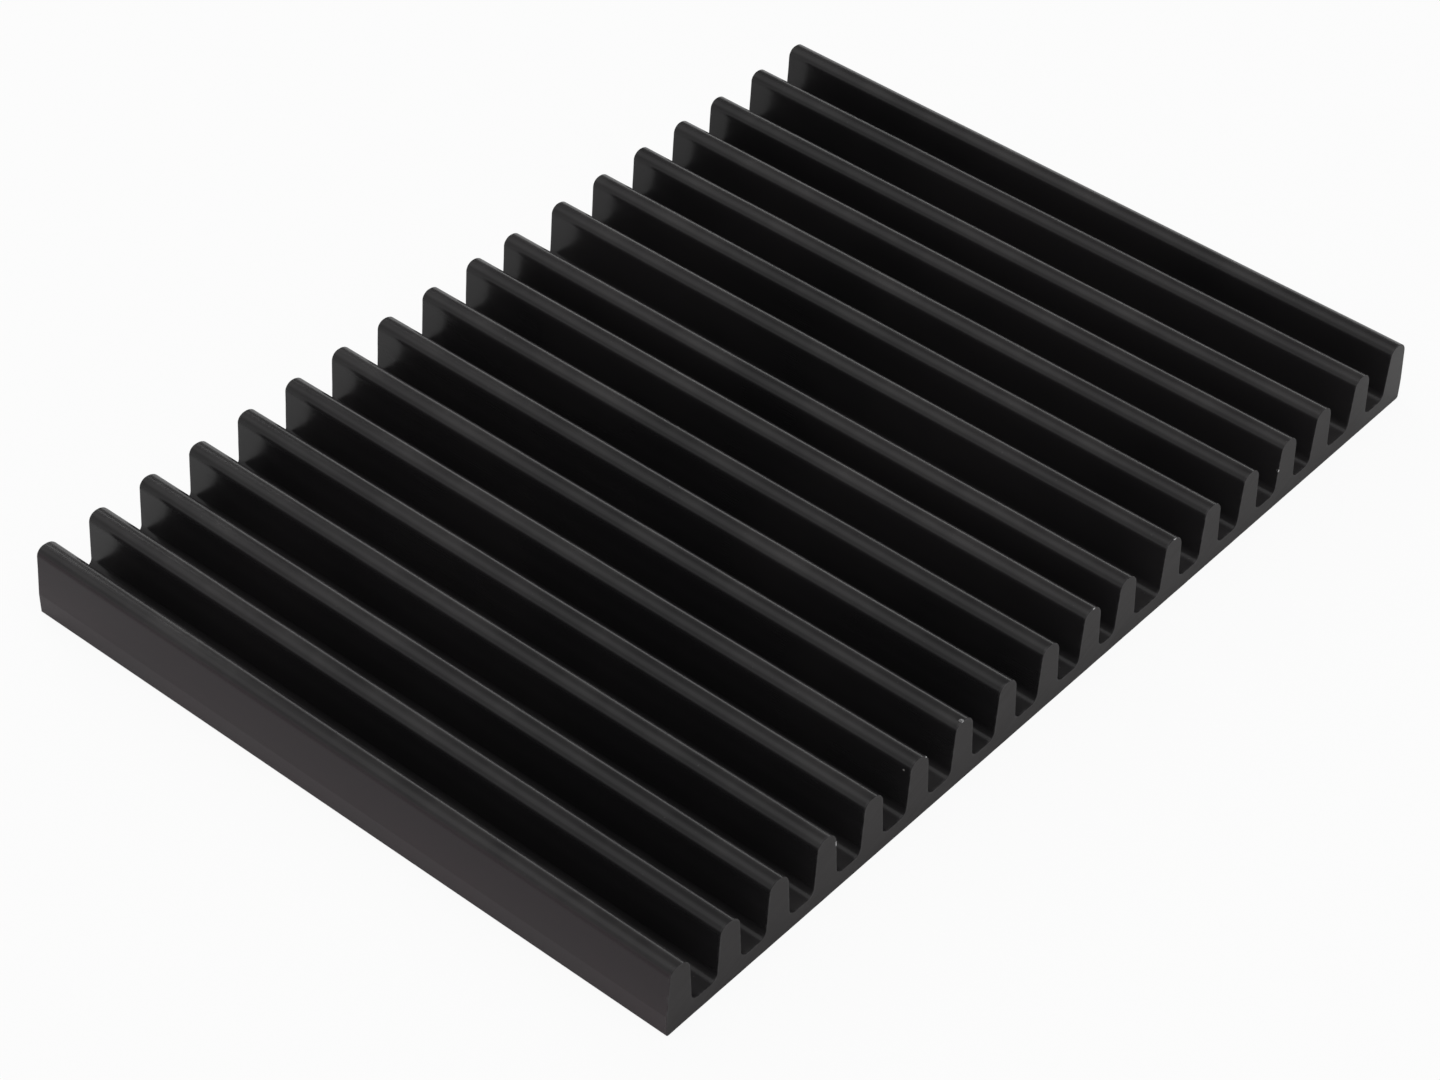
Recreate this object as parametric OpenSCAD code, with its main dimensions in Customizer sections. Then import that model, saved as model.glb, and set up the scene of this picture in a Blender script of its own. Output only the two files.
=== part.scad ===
// Extruded heat sink: a flat base that carries a row of straight cooling fins.
// One solid, cut from a single aluminium extrusion.
// X runs across the fins, Y along them and Z up. The origin is at the centre
// of the underside, which is the face that meets what is to be cooled.

/* [Extrusion] */
// Length that the extrusion is cut to, along the fins
cut_length = 100; // [40:1:200]
// Height from the underside to the fin tips
overall_h = 10; // [8:0.1:20]
// Thickness of the base under the channels
base_t = 2.3; // [1.6:0.1:5]
// Radius along the two lower edges of the base
base_edge_r = 0.4; // [0.2:0.1:0.8]

/* [Fins] */
// Number of fins
fin_count = 18; // [12:1:30]
// Regular spacing of the fins, from centre to centre
fin_pitch = 8.2; // [7.4:0.1:12]
// Fin thickness at the channel floor
fin_root_w = 4.1; // [3.2:0.1:5]
// Fin thickness at the tip, before its corners are rounded
fin_tip_w = 3.1; // [2:0.1:4]
// Radius of the left corner of each fin tip, on the -X side
left_tip_r = 1.2; // [0.3:0.1:1.6]
// Radius of the fuller right corner of each fin tip, on the +X side
right_tip_r = 2; // [0.3:0.1:2.4]
// Radius of the fillet where a fin meets the channel floor
root_r = 1.1; // [0.3:0.1:1.5]

/* [Outer walls] */
// How far each side of the base stands outside the root of the outer fin
side_step = 0.1; // [0:0.05:3]
// How far the upright part of a side runs above the channel floor
side_rise = 0.9; // [0.2:0.1:3]
// How far an outer wall leans in, from the upright part to the fin tip
side_lean = 0.6; // [0:0.05:1.2]

/* [Uneven spacing] */
// Fin, counted from -X, that stands closest to the one before it
close_fin = 11; // [2:1:17]
// How far that fin stands from its regular place
close_shift = 1.05; // [0:0.05:1.5]
// Second fin that stands close to the one before it
tight_fin = 16; // [2:1:17]
// How far the second fin stands from its regular place
tight_shift = 0.5; // [0:0.05:1.5]

/* [Hidden] */
$fn = 48;

// The fins span the width from the first centre line to the last
fin_span = (fin_count - 1) * fin_pitch;
// Half thickness of an outer fin on its outer side, at the base
side_x = fin_root_w / 2 + side_step;
overall_w = fin_span + 2 * side_x;
// Height of the upright part of a side, at most half of the fin
upright_h = min(side_rise, (overall_h - base_t) / 2);

// A wall of a fin, seen from the fin's centre line, runs up from foot to top
inner_foot = [fin_root_w / 2, base_t];
inner_top = [fin_tip_w / 2, overall_h];
outer_foot = [side_x, base_t + upright_h];
outer_top = [side_x - side_lean, overall_h];

// Angle by which a wall leans in from upright
function lean(foot, top) = atan((foot.x - top.x) / (top.y - foot.y));

// Direction that a leaning wall faces
function facing(foot, top) = [cos(lean(foot, top)), sin(lean(foot, top))];

// How far in from the corner at the top the centre of a rounding lies, for a radius of 1
function inset(foot, top) = 1 / cos(lean(foot, top)) - tan(lean(foot, top));

// The fillets of a channel leave room for each other on its floor
narrowest_floor = fin_pitch - close_shift - tight_shift - fin_root_w;
root_round = min(root_r, narrowest_floor / 2);

// The two roundings of a tip shrink together where the tip is too narrow or its wall
// too low for them, and leave a strip of flat between them
flat_share = 0.02;
tip_room = (1 - flat_share) * (inner_top.x + min(inner_top.x, outer_top.x));
tip_need = (left_tip_r + right_tip_r) * max(inset(inner_foot, inner_top), inset(outer_foot, outer_top));
wall_room = 0.9 * (overall_h - base_t - max(root_round, upright_h));
tip_share = min(1, tip_room / tip_need, wall_room / max(left_tip_r, right_tip_r));
left_round = left_tip_r * tip_share;
right_round = right_tip_r * tip_share;
// A rounding laps this far over the leaning wall that it runs into
blend_lap = 0.001;
// Angle by which a rounding reaches past both of its ends, inside the fin
sector_lap = 12;

// Centre of a rounding between a wall and the top of its fin
function tip_centre(foot, top, radius) = [top.x - radius * inset(foot, top), top.y - radius];

// Centre of the fillet between an inner wall and the channel floor
root_centre = [inner_foot.x + root_round * inset(inner_foot, inner_top), base_t + root_round];

// Point where a wall runs into a rounding on its upper end
function tip_blend(foot, top, radius) = tip_centre(foot, top, radius) + (radius - blend_lap) * facing(foot, top);

// Corner points of one side of a fin, from its foot up to the flat of its tip
function inner_side(radius) = [
    [root_centre.x, base_t],
    root_centre - (root_round - blend_lap) * facing(inner_foot, inner_top),
    tip_blend(inner_foot, inner_top, radius),
    [tip_centre(inner_foot, inner_top, radius).x, overall_h],
];
function outer_side(radius) = [
    outer_foot,
    tip_blend(outer_foot, outer_top, radius),
    [tip_centre(outer_foot, outer_top, radius).x, overall_h],
];

// Which fins have a channel on their left and on their right
function has_left_channel(fin) = fin > 1;
function has_right_channel(fin) = fin < fin_count;

// Place of a fin's centre line; the outer fins keep the width of the base
function is_inner(fin) = has_left_channel(fin) && has_right_channel(fin);
function shift(fin) = (fin == close_fin ? close_shift : 0) + (fin == tight_fin ? tight_shift : 0);
function fin_x(fin) = (fin - 1) * fin_pitch - fin_span / 2 - (is_inner(fin) ? shift(fin) : 0);

// Outline of one fin, from the foot of its left side over the tip to the right
function mirrored(points) = [for (p = points) [-p.x, p.y]];
function reversed(points) = [for (k = [len(points) - 1 : -1 : 0]) points[k]];
function side_points(inner, radius) = inner ? inner_side(radius) : outer_side(radius);
function left_side(fin) = mirrored(side_points(has_left_channel(fin), left_round));
function right_side(fin) = reversed(side_points(has_right_channel(fin), right_round));
function fin_outline(fin) = [for (p = concat(left_side(fin), right_side(fin))) [p.x + fin_x(fin), p.y]];

// Outline of the whole section, with straight cuts where the roundings go
section_outline = concat(
    [[-overall_w / 2 + base_edge_r, 0], [-overall_w / 2, base_edge_r]],
    [for (fin = [1 : fin_count]) each fin_outline(fin)],
    [[overall_w / 2, base_edge_r], [overall_w / 2 - base_edge_r, 0]]
);

// Straight rod of the full cut length, on the section's own axes
module rod(centre, radius) {
    translate([centre.x, centre.y, 0])
        cylinder(h = cut_length, r = radius, center = true);
}

// Sector of a rod that rounds the right corner of a tip, seen from the fin's centre line
module tip_corner(foot, top, radius) {
    centre = tip_centre(foot, top, radius);
    start = lean(foot, top) - sector_lap;
    intersection() {
        rod(centre, radius);
        linear_extrude(height = 2 * cut_length, center = true)
            polygon([
                centre,
                centre + 2 * radius * [cos(start), sin(start)],
                centre + 3 * radius * [1, 1],
                centre + 2 * radius * [-sin(sector_lap), cos(sector_lap)],
            ]);
    }
}

// Rounds both corners of one fin tip
module tip_roundings(fin) {
    left_inner = has_left_channel(fin);
    right_inner = has_right_channel(fin);
    translate([fin_x(fin), 0, 0])
        mirror([1, 0, 0])
            tip_corner(left_inner ? inner_foot : outer_foot, left_inner ? inner_top : outer_top, left_round);
    translate([fin_x(fin), 0, 0])
        tip_corner(right_inner ? inner_foot : outer_foot, right_inner ? inner_top : outer_top, right_round);
}

// Rounds the two lower edges of the base
module base_roundings() {
    for (side = [-1, 1])
        rod([side * (overall_w / 2 - base_edge_r), base_edge_r], base_edge_r);
}

// Hollows both corners of the channel that lies to the right of a fin
module channel_fillets(fin) {
    rod([fin_x(fin) + root_centre.x, root_centre.y], root_round);
    rod([fin_x(fin + 1) - root_centre.x, root_centre.y], root_round);
}

// Base and fins in one piece, standing on end with the fins along Z
module extrusion() {
    difference() {
        union() {
            linear_extrude(height = cut_length, center = true)
                polygon(section_outline);
            base_roundings();
            for (fin = [1 : fin_count])
                tip_roundings(fin);
        }
        for (fin = [1 : fin_count - 1])
            channel_fillets(fin);
    }
}

module heat_sink() {
    color([0.12, 0.12, 0.125])
        rotate([90, 0, 0])
            extrusion();
}

heat_sink();
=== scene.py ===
"""Extruded heat sink, satin black anodised: one comb section, sawn to length, on a plain pale floor.

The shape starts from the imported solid's own cut end. This script sweeps that outline along the part in
fine rings, breaks the sawn edges, adds the small dents, and finishes the metal. Lengths are in metres.
"""

import math

import bpy
import numpy as np
from mathutils import Matrix, Vector


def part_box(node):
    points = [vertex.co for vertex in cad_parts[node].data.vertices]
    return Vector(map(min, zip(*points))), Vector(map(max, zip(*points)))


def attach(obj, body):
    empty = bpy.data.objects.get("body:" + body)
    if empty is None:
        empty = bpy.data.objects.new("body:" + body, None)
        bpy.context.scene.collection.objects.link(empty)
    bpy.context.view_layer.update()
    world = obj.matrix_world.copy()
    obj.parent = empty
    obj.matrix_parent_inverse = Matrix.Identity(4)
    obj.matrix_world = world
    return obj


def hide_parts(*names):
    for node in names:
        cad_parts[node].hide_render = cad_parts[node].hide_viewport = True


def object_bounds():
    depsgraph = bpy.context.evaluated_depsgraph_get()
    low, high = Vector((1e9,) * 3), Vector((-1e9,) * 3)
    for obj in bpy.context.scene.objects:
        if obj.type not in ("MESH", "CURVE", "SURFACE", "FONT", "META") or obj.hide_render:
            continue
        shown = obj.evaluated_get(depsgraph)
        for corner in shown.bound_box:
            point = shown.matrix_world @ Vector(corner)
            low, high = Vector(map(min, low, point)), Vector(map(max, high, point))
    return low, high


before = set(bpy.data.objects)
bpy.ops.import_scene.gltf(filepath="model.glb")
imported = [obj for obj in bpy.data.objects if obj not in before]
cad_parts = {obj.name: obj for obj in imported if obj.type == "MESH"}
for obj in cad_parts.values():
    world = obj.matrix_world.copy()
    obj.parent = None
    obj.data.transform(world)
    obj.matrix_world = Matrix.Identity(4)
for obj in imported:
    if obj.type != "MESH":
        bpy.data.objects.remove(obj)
cad_low, cad_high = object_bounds()

MM = 0.001

# ---- Section and rings ----

SUPPORT_GAP = 0.12 * MM  # first point on a flat beside a rounding
FLAT_STEP = 2.0 * MM  # widest gap between points on a flat
SHARP_ANGLE = math.radians(28)

EDGE_BREAK = 0.03 * MM  # mean width of the break along a sawn edge
EDGE_RAGGED = 0.6  # how far the break strays from its mean
CAP_BORDER = 0.32 * MM  # flat border inside the break on a cut end
RING_DEPTHS = [0.16, 0.32, 0.55, 0.85, 1.25, 1.8, 2.6, 3.8]  # mm from a cut end
RING_STEP = 5.0 * MM

FIN_SWAY = 0.018 * MM  # how far a fin tip wanders along its length

# Dents on the near end: place in mm (x, y from the cut end, z), size in mm (x, y, z), depth in mm, bare metal.
DENTS = [
    ((-27.50, 0.02, 9.20), (0.16, 0.16, 0.30), 0.05, 1.0),
    ((-20.95, 0.20, 10.00), (0.34, 0.42, 0.30), 0.09, 1.0),
    ((4.22, 0.00, 10.00), (0.32, 0.12, 0.20), 0.04, 1.0),
    ((20.60, 0.04, 10.00), (0.55, 0.16, 0.22), 0.06, 1.0),
    ((-43.45, 0.00, 7.60), (0.10, 0.10, 0.95), 0.02, 0.8),
]


def noise_wave(place, seed):
    """Smooth wandering between about -1 and 1 along a run of places, from a few mixed waves."""
    waves = [(1.0, 0.50), (2.3, 0.28), (5.1, 0.22)]
    return sum(size * np.sin(place * rate + seed * 2.4 + rate * 1.7) for rate, size in waves)


def cut_outline(node):
    """The near cut end's outline, as (x, z) points in order, anticlockwise seen from the front."""
    mesh = node.data
    front = min(v.co.y for v in mesh.vertices)
    spot = {
        v.index: (round(v.co.x, 7), round(v.co.z, 7))
        for v in mesh.vertices
        if v.co.y < front + 1e-6
    }
    edges = set()
    for face in mesh.polygons:
        if all(i in spot for i in face.vertices):
            ring = [spot[i] for i in face.vertices]
            for edge in zip(ring, ring[1:] + ring[:1]):
                if edge[::-1] in edges:
                    edges.remove(edge[::-1])
                else:
                    edges.add(edge)
    following = dict(edges)
    loop = [min(following)]
    while following[loop[-1]] != loop[0]:
        loop.append(following[loop[-1]])
    return loop


def with_flat_points(outline):
    """Adds points along the flats, so that each flat shades as a flat right up to its roundings."""
    points = []
    for a, b in zip(outline, outline[1:] + outline[:1]):
        a, b = np.array(a), np.array(b)
        length = np.linalg.norm(b - a)
        points.append(a)
        if length > 3 * SUPPORT_GAP:
            between = length - 2 * SUPPORT_GAP
            steps = max(1, math.ceil(between / FLAT_STEP))
            for i in range(steps + 1):
                points.append(a + (b - a) * (SUPPORT_GAP + between * i / steps) / length)
    return np.array(points)


def outward(points):
    """The outline's outward direction at each point."""
    ahead = np.roll(points, -1, 0) - points
    ahead /= np.linalg.norm(ahead, axis=1)[:, None]
    behind = np.roll(ahead, 1, 0)
    side = ahead + behind
    side /= np.linalg.norm(side, axis=1)[:, None]
    return np.stack([side[:, 1], -side[:, 0]], 1)


def rings_for(points, front, back):
    """Rings of the swept section from the near cap to the far one, and each ring's nearness to a cut."""
    out = outward(points)
    run = np.cumsum(np.linalg.norm(np.roll(points, 1, 0) - points, axis=1)) / MM
    rings, nearness = [], []

    def ring(y, inset, cut):
        flat = points - out * np.reshape(inset, (-1, 1))
        along = np.broadcast_to(y, len(points))
        rings.append(np.stack([flat[:, 0], along, flat[:, 1]], 1))
        nearness.append(np.full(len(points), cut))

    depths = [d * MM for d in RING_DEPTHS]
    for face, inward, seed in ((front, 1, 1.0), (back, -1, 5.0)):
        width = EDGE_BREAK * (1 + EDGE_RAGGED * noise_wave(run * 1.9, seed))
        end = [
            (face, width + CAP_BORDER, 0.0),
            (face, width, 1.0),
            (face + inward * width, 0.0, 1.0),
            *((face + inward * d, 0.0, max(0.0, 0.45 - 0.45 * i)) for i, d in enumerate(depths)),
        ]
        if inward < 0:
            middle = back - front - 2 * depths[-1]
            steps = round(middle / RING_STEP)
            for i in range(1, steps):
                ring(front + depths[-1] + middle * i / steps, 0.0, 0.0)
            end.reverse()
        for y, inset, cut in end:
            ring(y, inset, cut)
    return np.array(rings), np.array(nearness)


def sway(rings, top):
    """Lets the fins wander a hair's breadth along their length, as an extrusion does; the base stays true."""
    x, y, z = rings[..., 0] / MM, rings[..., 1] / MM, rings[..., 2] / top
    rise = np.clip((z - 0.25) / 0.75, 0, 1) ** 1.5
    fin = np.round(x / 8.2)
    rings[..., 0] += FIN_SWAY * rise * np.sin(y * 0.21 + fin * 1.9) * (0.7 + 0.3 * np.sin(y * 0.57 + fin))
    rings[..., 2] -= 0.3 * FIN_SWAY * rise * (1 + np.sin(y * 0.33 + fin * 2.7))


def dent(rings, front, low, high):
    """Pushes the dents in towards the body of the metal and gives how bare the metal is at each point."""
    bare = np.zeros(rings.shape[:2])
    for (x, y, z), size, depth, shown in DENTS:
        place = np.array([x * MM, front + y * MM, z * MM])
        reach = np.array(size) * MM
        away = np.linalg.norm((rings - place) / reach, axis=2)
        pull = np.clip(1 - away, 0, 1)
        pull = pull * pull * (3 - 2 * pull)
        root = np.array([round(x / 8.2 - 0.5) * 8.2 * MM + 4.1 * MM, front + 3 * MM, 5 * MM])
        into = root - place
        into /= np.linalg.norm(into)
        rings += into * (pull * depth * MM)[..., None]
        bare = np.maximum(bare, np.clip(pull * 2.2, 0, 1) * shown)
    np.clip(rings, np.array(low), np.array(high), out=rings)
    bare[[0, -1]] = 0.0  # the innermost ring carries the whole cut face
    return bare


def build_heat_sink(node):
    """The swept, edge-broken and dented heat sink as one closed mesh."""
    low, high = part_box(node.name)
    points = with_flat_points(cut_outline(node))
    rings, nearness = rings_for(points, low.y, high.y)
    sway(rings, high.z)
    bare = dent(rings, low.y, low, high)

    ring_count, around = rings.shape[:2]
    at = np.arange(ring_count * around).reshape(ring_count, around)
    here, ahead = at[:-1], at[1:]
    sides = np.stack([here, ahead, np.roll(ahead, -1, 1), np.roll(here, -1, 1)], -1).reshape(-1, 4)
    faces = [at[0].tolist(), at[-1][::-1].tolist(), *sides.tolist()]

    mesh = bpy.data.meshes.new("heat_sink_metal")
    mesh.from_pydata(rings.reshape(-1, 3).tolist(), [], faces)
    for name, values in (("cut_edge", nearness), ("bare_metal", bare)):
        mesh.attributes.new(name, "FLOAT", "POINT").data.foreach_set("value", values.ravel().astype(np.float32))
    mesh.shade_smooth()
    mesh.set_sharp_from_angle(angle=SHARP_ANGLE)

    mesh.materials.append(anodised_skin())
    mesh.materials.append(sawn_end())
    first = around  # the strips inside each break lie on the cut face
    cut = np.zeros(len(mesh.polygons), np.int32)
    cut[:2] = 1
    cut[2:2 + first] = 1
    cut[-first:] = 1
    mesh.polygons.foreach_set("material_index", cut)
    mesh.update()

    piece = bpy.data.objects.new("heat_sink_body", mesh)
    bpy.context.scene.collection.objects.link(piece)
    return piece


# ---- Node helpers ----


class Nodes:
    """Adds nodes to a tree and joins them, left to right."""

    def __init__(self, tree):
        self.tree = tree
        self.column = 0

    def add(self, kind, values=None, **settings):
        node = self.tree.nodes.new(kind)
        node.location = (self.column * 190, -(self.column % 4) * 180)
        self.column += 1
        for name, value in settings.items():
            setattr(node, name, value)
        for name, value in (values or {}).items():
            if isinstance(value, bpy.types.NodeSocket):
                self.tree.links.new(value, node.inputs[name])
            else:
                node.inputs[name].default_value = value
        return node

    def math(self, operation, a, b=0.0):
        return self.add("ShaderNodeMath", {0: a, 1: b}, operation=operation).outputs[0]

    def scaled(self, vector, by):
        return self.add("ShaderNodeVectorMath", {0: vector, 1: by}, operation="MULTIPLY").outputs[0]

    def noise(self, vector, scale, detail=2.0, roughness=0.5):
        values = {"Vector": vector, "Scale": scale, "Detail": detail, "Roughness": roughness}
        return self.add("ShaderNodeTexNoise", values).outputs["Fac"]

    def ramp(self, value, low, high, to_low=0.0, to_high=1.0):
        values = {"Value": value, "From Min": low, "From Max": high, "To Min": to_low, "To Max": to_high}
        node = self.add("ShaderNodeMapRange", values, interpolation_type="SMOOTHSTEP")
        return node.outputs["Result"]

    def mix(self, factor, a, b):
        node = self.add("ShaderNodeMix", {0: factor}, data_type="RGBA")
        for name, value in ((6, a), (7, b)):
            if isinstance(value, bpy.types.NodeSocket):
                self.tree.links.new(value, node.inputs[name])
            else:
                node.inputs[name].default_value = (*value, 1.0)
        return node.outputs[2]


def effect(name, inputs, outputs):
    """An empty node group with float inputs, and its node adder."""
    tree = bpy.data.node_groups.new(name, "ShaderNodeTree")
    for label, value in inputs.items():
        socket = tree.interface.new_socket(label, in_out="INPUT", socket_type="NodeSocketFloat")
        socket.default_value = value
    for label in outputs:
        tree.interface.new_socket(label, in_out="OUTPUT", socket_type="NodeSocketFloat")
    nodes = Nodes(tree)
    return nodes, nodes.add("NodeGroupInput").outputs


def die_lines_effect():
    """Fine lines left by the die, running the length of the extrusion."""
    nodes, given = effect("Die lines", {"Fineness": 1.0, "Breaks": 1.0}, ["Height", "Streak"])
    place = nodes.add("ShaderNodeTexCoord").outputs["Object"]
    fine = nodes.scaled(place, (6000.0, 14.0, 6000.0))
    broad = nodes.scaled(place, (1300.0, 6.0, 1300.0))
    close = nodes.noise(fine, given["Fineness"], 2.0)
    wide = nodes.noise(broad, given["Breaks"], 2.0)
    height = nodes.math("ADD", nodes.math("MULTIPLY", close, 0.55), nodes.math("MULTIPLY", wide, 0.45))
    streak = nodes.ramp(wide, 0.35, 0.7)
    nodes.add("NodeGroupOutput", {"Height": height, "Streak": streak})
    return nodes.tree


def dye_effect():
    """Slow changes of tone in the dyed oxide."""
    nodes, given = effect("Dye tone", {"Scale": 26.0, "Spread": 1.0}, ["Tone"])
    place = nodes.add("ShaderNodeTexCoord").outputs["Object"]
    tone = nodes.noise(place, given["Scale"], 3.0, 0.6)
    centred = nodes.math("MULTIPLY", nodes.math("SUBTRACT", tone, 0.5), given["Spread"])
    nodes.add("NodeGroupOutput", {"Tone": nodes.math("ADD", centred, 0.5)})
    return nodes.tree


def edge_wear_effect():
    """Where the finish is rubbed thin along a sawn edge."""
    nodes, given = effect("Edge wear", {"Edge": 0.0, "Amount": 0.5, "Grain": 900.0}, ["Mask"])
    place = nodes.add("ShaderNodeTexCoord").outputs["Object"]
    patch = nodes.noise(place, given["Grain"], 3.0, 0.6)
    level = nodes.math("SUBTRACT", 1.0, given["Amount"])
    bitten = nodes.ramp(patch, nodes.math("MULTIPLY", level, 0.62), nodes.math("ADD", level, 0.12))
    nodes.add("NodeGroupOutput", {"Mask": nodes.math("MULTIPLY", bitten, given["Edge"])})
    return nodes.tree


def dust_effect():
    """A thin film of dust with a few specks, on faces that look up."""
    nodes, given = effect("Settled dust", {"Amount": 0.5, "Grain": 2600.0}, ["Mask"])
    place = nodes.add("ShaderNodeTexCoord").outputs["Object"]
    normal = nodes.add("ShaderNodeNewGeometry").outputs["Normal"]
    upward = nodes.add("ShaderNodeSeparateXYZ", {0: normal}).outputs["Z"]
    settled = nodes.ramp(upward, 0.1, 0.95)
    film = nodes.ramp(nodes.noise(place, 90.0, 3.0, 0.65), 0.35, 0.75, 0.1, 0.6)
    specks = nodes.ramp(nodes.noise(place, given["Grain"], 1.0), 0.74, 0.8)
    dusty = nodes.math("MAXIMUM", film, specks)
    nodes.add("NodeGroupOutput", {"Mask": nodes.math("MULTIPLY", nodes.math("MULTIPLY", dusty, settled), given["Amount"])})
    return nodes.tree


def wall_tinge_and_shade_effect():
    """The outer wall at the left: a redder cast of the dye in slow clouds, and painted shade that draws it darker
    higher up.
    """
    nodes, given = effect("Wall tinge and painted shade", {"Amount": 1.0}, ["Tinge", "Painted shade"])
    place = nodes.add("ShaderNodeTexCoord").outputs["Object"]
    axes = nodes.add("ShaderNodeSeparateXYZ", {0: place}).outputs
    outside = nodes.math("MULTIPLY", nodes.ramp(axes["X"], -0.0714, -0.0710, 1.0, 0.0), given["Amount"])
    cloud = nodes.ramp(nodes.noise(place, 70.0, 3.0, 0.6), 0.3, 0.7, 0.6, 1.0)
    # painted shade: the outer wall drawn darker towards its top
    painted_shade = nodes.math("MULTIPLY", outside, nodes.ramp(axes["Z"], 0.0015, 0.0085))
    nodes.add("NodeGroupOutput", {"Tinge": nodes.math("MULTIPLY", outside, cloud), "Painted shade": painted_shade})
    return nodes.tree


def cut_end_painted_light_effect():
    """Painted light on the sawn end: lighter towards the right, with a painted highlight at the right-hand corner.
    """
    nodes, given = effect("Cut end painted light", {"Amount": 1.0}, ["Mask"])
    place = nodes.add("ShaderNodeTexCoord").outputs["Object"]
    across = nodes.add("ShaderNodeSeparateXYZ", {0: place}).outputs["X"]
    # painted light rising slowly from left to right across the cut end
    slow = nodes.ramp(across, -0.055, 0.065, 0.0, 0.24)
    # painted highlight at the right-hand corner
    corner = nodes.ramp(across, 0.058, 0.071, 0.0, 0.62)
    nodes.add("NodeGroupOutput", {"Mask": nodes.math("MULTIPLY", nodes.math("ADD", slow, corner), given["Amount"])})
    return nodes.tree


def fleck_effect():
    """One small fleck with a ragged rim, at a place given in mm."""
    nodes, given = effect("Fleck", {"X": 0.0, "Y": 0.0, "Z": 0.0, "Size": 0.2}, ["Mask"])
    place = nodes.add("ShaderNodeTexCoord").outputs["Object"]
    spot = nodes.add("ShaderNodeCombineXYZ", {0: given["X"], 1: given["Y"], 2: given["Z"]}).outputs[0]
    away = nodes.add("ShaderNodeVectorMath", {0: nodes.scaled(place, (1000.0, 1000.0, 1000.0)), 1: spot}, operation="DISTANCE")
    ragged = nodes.math("MULTIPLY", nodes.noise(place, 5200.0, 2.0), 0.8)
    reach = nodes.math("ADD", nodes.math("DIVIDE", away.outputs["Value"], given["Size"]), ragged)
    nodes.add("NodeGroupOutput", {"Mask": nodes.ramp(reach, 1.1, 1.4, 1.0, 0.0)})
    return nodes.tree


DIE_LINES = die_lines_effect()
CUT_END_PAINTED_LIGHT = cut_end_painted_light_effect()
FLECK = fleck_effect()
WALL_TINGE_AND_SHADE = wall_tinge_and_shade_effect()
DYE = dye_effect()
EDGE_WEAR = edge_wear_effect()
DUST = dust_effect()

# ---- Finishes ----

DYE_DARK = (0.0150, 0.0144, 0.0152)
DYE_LIGHT = (0.0218, 0.0202, 0.0212)
WALL_TINGE = (0.0290, 0.0160, 0.0205)
# painted shade for the upper part of the outer wall
WALL_PAINTED_SHADE = (0.0130, 0.0050, 0.0085)
SAWN_DARK = (0.0145, 0.0112, 0.0120)
SAWN_LIGHT = (0.0190, 0.0154, 0.0160)
# painted light for the right side of the sawn end
SAWN_PAINTED_LIGHT = (0.0720, 0.0700, 0.0700)
THIN_OXIDE = (0.060, 0.058, 0.060)
BARE = (0.80, 0.80, 0.81)
DUST_COLOUR = (0.30, 0.29, 0.28)

# Flecks in the finish: place in mm (x, y, z) and size in mm.
NICKS = [(43.28, -49.95, 5.90, 0.24)]
LINT = (-30.35, -49.0, 8.61, 0.15)
SKIN_IOR = 1.40
SAWN_IOR = 1.45


def new_finish(name):
    material = bpy.data.materials.new(name)
    material.use_nodes = True
    material.node_tree.nodes.clear()
    nodes = Nodes(material.node_tree)
    return material, nodes


def group(nodes, tree, **values):
    node = nodes.add("ShaderNodeGroup", node_tree=tree)
    for name, value in values.items():
        if isinstance(value, bpy.types.NodeSocket):
            nodes.tree.links.new(value, node.inputs[name])
        else:
            node.inputs[name].default_value = value
    return node.outputs


def attribute(nodes, name):
    return nodes.add("ShaderNodeAttribute", attribute_name=name).outputs["Fac"]


def finish_metal(nodes, colour, roughness, height, bump, ior):
    """Adds wear, bare dents and dust over a dyed surface, and ends in the shader."""
    worn = group(nodes, EDGE_WEAR, Edge=attribute(nodes, "cut_edge"), Amount=0.35, Grain=900.0)["Mask"]
    dusty = group(nodes, DUST, Amount=0.10, Grain=2600.0)["Mask"]
    bare = attribute(nodes, "bare_metal")
    ragged = nodes.noise(nodes.add("ShaderNodeTexCoord").outputs["Object"], 2400.0, 3.0, 0.7)
    bare = nodes.ramp(nodes.math("ADD", bare, nodes.math("MULTIPLY", ragged, 0.35)), 0.55, 0.78)
    for x, y, z, size in NICKS:
        bare = nodes.math("MAXIMUM", bare, group(nodes, FLECK, X=x, Y=y, Z=z, Size=size)["Mask"])
    lint = group(nodes, FLECK, X=LINT[0], Y=LINT[1], Z=LINT[2], Size=LINT[3])["Mask"]
    dusty = nodes.math("MAXIMUM", dusty, lint)

    colour = nodes.mix(worn, colour, THIN_OXIDE)
    colour = nodes.mix(dusty, colour, DUST_COLOUR)
    colour = nodes.mix(bare, colour, BARE)
    roughness = nodes.math("ADD", roughness, nodes.math("MULTIPLY", dusty, 0.5))
    roughness = nodes.math("SUBTRACT", roughness, nodes.math("MULTIPLY", bare, 0.12))
    relief = nodes.add("ShaderNodeBump", {"Strength": 1.0, "Distance": bump, "Height": height})
    shader = nodes.add("ShaderNodeBsdfPrincipled", {
        "Base Color": colour,
        "Roughness": roughness,
        "Metallic": bare,
        "Normal": relief.outputs["Normal"],
        "IOR": ior,
    })
    nodes.add("ShaderNodeOutputMaterial", {"Surface": shader.outputs["BSDF"]})


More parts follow.
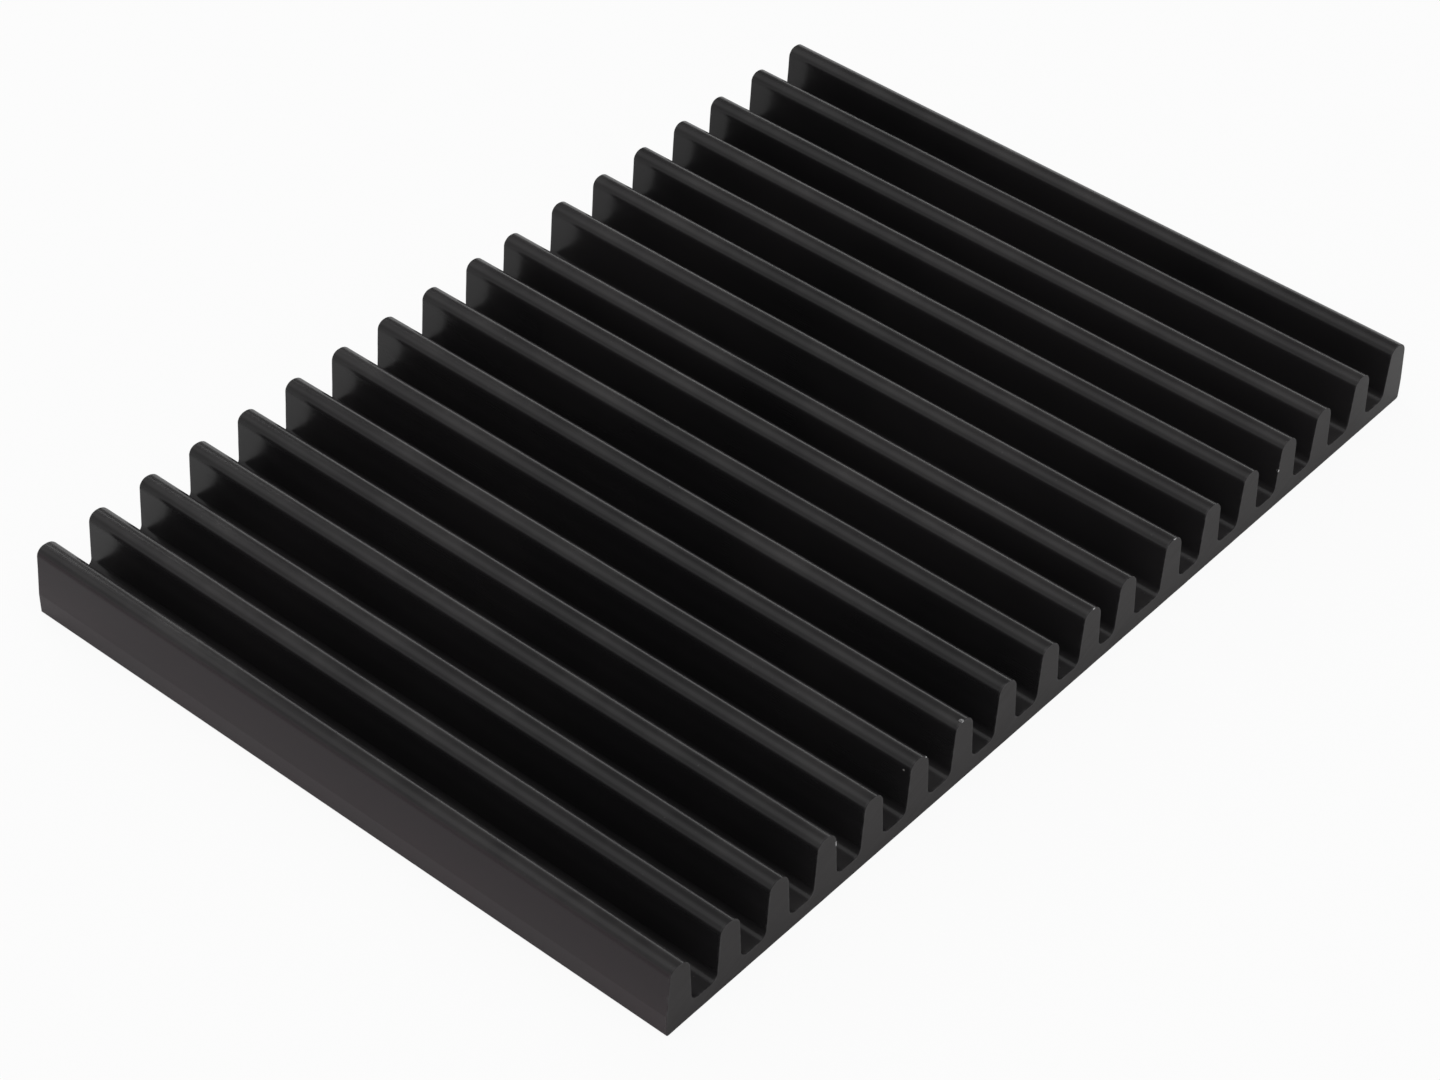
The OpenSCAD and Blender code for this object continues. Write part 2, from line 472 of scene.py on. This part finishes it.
def anodised_skin():
    """Satin black oxide over the extruded faces, with the die's fine lines under it."""
    material, nodes = new_finish("anodised_skin")
    lines = group(nodes, DIE_LINES, Fineness=1.0, Breaks=1.0)
    tone = group(nodes, DYE, Scale=26.0, Spread=1.6)["Tone"]
    colour = nodes.mix(nodes.ramp(tone, 0.25, 0.75), DYE_DARK, DYE_LIGHT)
    wall = group(nodes, WALL_TINGE_AND_SHADE, Amount=1.0)
    # the wall's redder dye, then painted shade darkening it higher up
    colour = nodes.mix(wall["Painted shade"], nodes.mix(wall["Tinge"], colour, WALL_TINGE), WALL_PAINTED_SHADE)
    roughness = nodes.ramp(lines["Streak"], 0.0, 1.0, 0.19, 0.25)
    finish_metal(nodes, colour, roughness, lines["Height"], 0.006 * MM, SKIN_IOR)
    return material


def sawn_end():
    """The sawn faces: a finer, flatter black with the saw's faint slanting lines."""
    material, nodes = new_finish("sawn_end")
    place = nodes.add("ShaderNodeTexCoord").outputs["Object"]
    slant = nodes.add("ShaderNodeMapping", {"Vector": place, "Rotation": (0.0, math.radians(24), 0.0)})
    lines = nodes.noise(nodes.scaled(slant.outputs["Vector"], (60.0, 1.0, 5200.0)), 1.0, 2.0)
    tone = group(nodes, DYE, Scale=60.0, Spread=1.4)["Tone"]
    colour = nodes.mix(nodes.ramp(tone, 0.25, 0.75), SAWN_DARK, SAWN_LIGHT)
    # painted light, lighter to the right and brightest at the right-hand corner
    colour = nodes.mix(group(nodes, CUT_END_PAINTED_LIGHT, Amount=1.0)["Mask"], colour, SAWN_PAINTED_LIGHT)
    roughness = nodes.ramp(lines, 0.3, 0.7, 0.47, 0.52)
    finish_metal(nodes, colour, roughness, lines, 0.0015 * MM, SAWN_IOR)
    return material


# ---- Studio ----

FLOOR_WHITE = (0.82, 0.82, 0.82, 1.0)
FLOOR_SIZE = 8.0
FLOOR_GLOW = 0.93  # share of plain white that the camera sees in the floor
FLOOR_GLINT = 0.12  # the same share for the gloss of the metal
SKY_FRONT = 0.42
SKY_BACK = 0.62
SKY_HIGH = 0.70  # brightness overhead, as a share of that at the horizon
SKY_FLAG = 0.30  # what a dark flag, high at the back right, leaves of it


def lay_floor(height):
    mesh = bpy.data.meshes.new("floor")
    half = FLOOR_SIZE / 2
    mesh.from_pydata([(-half, -half, 0), (half, -half, 0), (half, half, 0), (-half, half, 0)], [], [(0, 1, 2, 3)])
    floor = bpy.data.objects.new("floor", mesh)
    floor.location.z = height
    bpy.context.scene.collection.objects.link(floor)
    material, nodes = new_finish("pale_floor")
    matte = nodes.add("ShaderNodeBsdfDiffuse", {"Color": FLOOR_WHITE})
    white = nodes.add("ShaderNodeEmission", {"Color": (1, 1, 1, 1), "Strength": 1.0})
    path = nodes.add("ShaderNodeLightPath").outputs
    looked = nodes.math("MULTIPLY", path["Is Camera Ray"], FLOOR_GLOW)
    share = nodes.math("ADD", looked, nodes.math("MULTIPLY", path["Is Glossy Ray"], FLOOR_GLINT))
    both = nodes.add("ShaderNodeMixShader", {0: share, 1: matte.outputs[0], 2: white.outputs[0]})
    nodes.add("ShaderNodeOutputMaterial", {"Surface": both.outputs[0]})
    mesh.materials.append(material)


def hang_backdrop():
    """A round backdrop in the world, brighter behind the part than in front of it."""
    world = bpy.data.worlds.new("studio")
    bpy.context.scene.world = world
    world.use_nodes = True
    world.node_tree.nodes.clear()
    nodes = Nodes(world.node_tree)
    direction = nodes.add("ShaderNodeTexCoord").outputs["Generated"]
    axes = nodes.add("ShaderNodeSeparateXYZ", {0: direction}).outputs
    level = nodes.ramp(axes["Y"], -0.3, 0.3, SKY_FRONT, SKY_BACK)
    level = nodes.math("MULTIPLY", level, nodes.ramp(axes["Z"], 0.15, 0.5, 1.0, SKY_HIGH))
    flag = nodes.math("MULTIPLY", nodes.ramp(axes["X"], 0.33, 0.50), nodes.ramp(axes["Z"], 0.22, 0.36))
    level = nodes.math("MULTIPLY", level, nodes.ramp(flag, 0.0, 1.0, 1.0, SKY_FLAG))
    sky = nodes.add("ShaderNodeBackground", {"Color": (1, 1, 1, 1), "Strength": level})
    nodes.add("ShaderNodeOutputWorld", {"Surface": sky.outputs[0]})


def softbox(name, place, aim, size, power):
    lamp = bpy.data.lights.new(name, "AREA")
    lamp.shape = "RECTANGLE"
    lamp.size, lamp.size_y = size
    lamp.energy = power
    holder = bpy.data.objects.new(name, lamp)
    holder.location = place
    holder.rotation_euler = (Vector(aim) - Vector(place)).to_track_quat("-Z", "Y").to_euler()
    bpy.context.scene.collection.objects.link(holder)


def place_camera():
    """A long lens from the front left, rolled slightly."""
    azimuth, elevation, roll = (math.radians(a) for a in (-50.234, 42.136, 1.335))
    aim = Vector((-11.80, -5.92, 5.0)) * MM
    distance = 448.88 * MM
    forward = Vector((
        -math.sin(azimuth) * math.cos(elevation),
        math.cos(azimuth) * math.cos(elevation),
        -math.sin(elevation),
    ))
    turn = forward.to_track_quat("-Z", "Y").to_matrix().to_4x4() @ Matrix.Rotation(roll, 4, "Z")
    lens = bpy.data.cameras.new("camera")
    lens.lens = 92.366
    lens.sensor_width = 36.0
    lens.clip_start = 0.01
    lens.clip_end = 50.0
    camera = bpy.data.objects.new("camera", lens)
    camera.matrix_world = Matrix.Translation(aim - forward * distance) @ turn
    bpy.context.scene.collection.objects.link(camera)
    bpy.context.scene.camera = camera


# ---- Putting it together ----

heat_sink = build_heat_sink(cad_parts["heat_sink"])
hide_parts("heat_sink")
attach(heat_sink, "root")

lay_floor(cad_low.z)
hang_backdrop()
middle = (0.0, 0.0, 0.0)
softbox("key_softbox", (-0.30, 0.60, 1.05), middle, (0.8, 0.7), 0.55)
softbox("back_softbox", (0.45, 1.10, 0.55), middle, (0.7, 0.5), 4.0)
softbox("top_softbox", (-0.10, -0.30, 1.30), middle, (1.0, 1.0), 6.0)
softbox("right_softbox", (1.20, 0.64, 0.12), middle, (0.8, 0.20), 0.40)
place_camera()

bpy.context.scene.view_settings.view_transform = "Standard"
